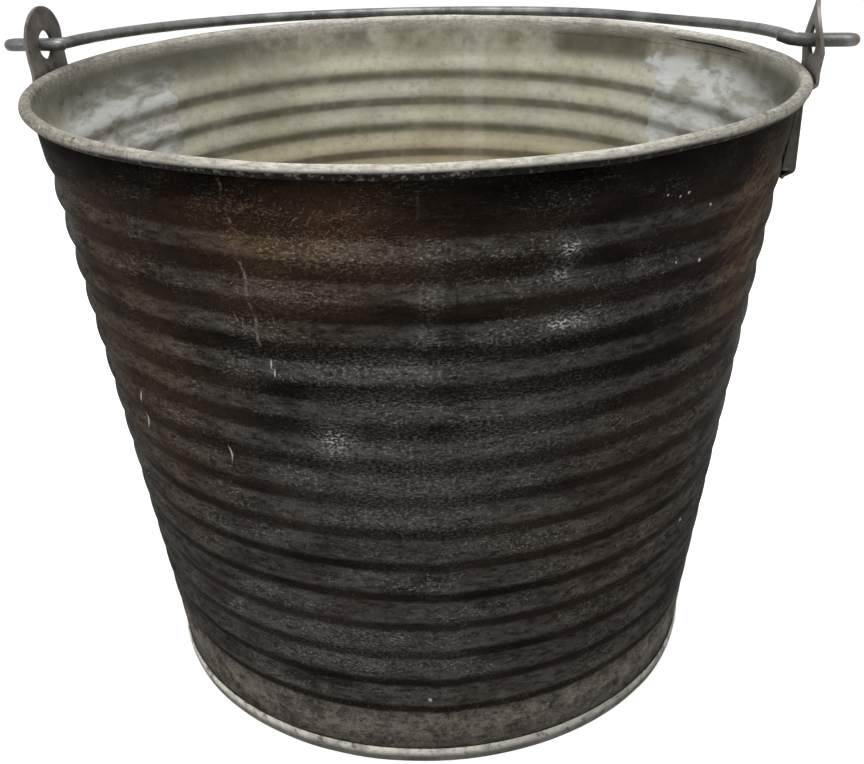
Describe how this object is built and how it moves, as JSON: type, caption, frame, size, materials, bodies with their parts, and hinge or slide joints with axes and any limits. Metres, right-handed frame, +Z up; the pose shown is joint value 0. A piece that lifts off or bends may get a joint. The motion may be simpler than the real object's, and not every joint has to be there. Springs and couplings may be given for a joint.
{
  "type": "galvanised pail",
  "caption": "Tapered ribbed sheet-metal pail with a rolled rim, a raised bottom, riveted ears and a swinging wire bail, dark with age.",
  "frame": {"origin": "on the pail's axis, at the floor that its foot ring stands on", "axes": "+X along the bail's pivot line towards the right ear, +Y to the back where the bail lies at rest, +Z up"},
  "size_m": [0.3456, 0.312, 0.2807],
  "materials": {
    "dark_zinc": "dark brown-black weathered zinc, scratched and dusty",
    "grey_zinc": "dull grey zinc with pale frosted patches",
    "ear_steel": "dull warm grey zinc, dirty in the corners",
    "bail_steel": "worn grey wire, smooth with handling"
  },
  "bodies": {
    "pail": {"wall": "dark_zinc", "rim_wire": "grey_zinc", "bottom": "grey_zinc", "ear_left": "ear_steel", "ear_right": "ear_steel", "rivet_left_front": "grey_zinc", "rivet_left_back": "grey_zinc", "rivet_right_front": "grey_zinc", "rivet_right_back": "grey_zinc"},
    "bail": {"bail": "bail_steel"}
  },
  "joints": [
    {"name": "bail_swing", "type": "hinge", "parent": "pail", "child": "bail", "pos_m": [0, 0, 0.2653], "axis": [1, 0, 0], "range_deg": [0, 173]}
  ]
}
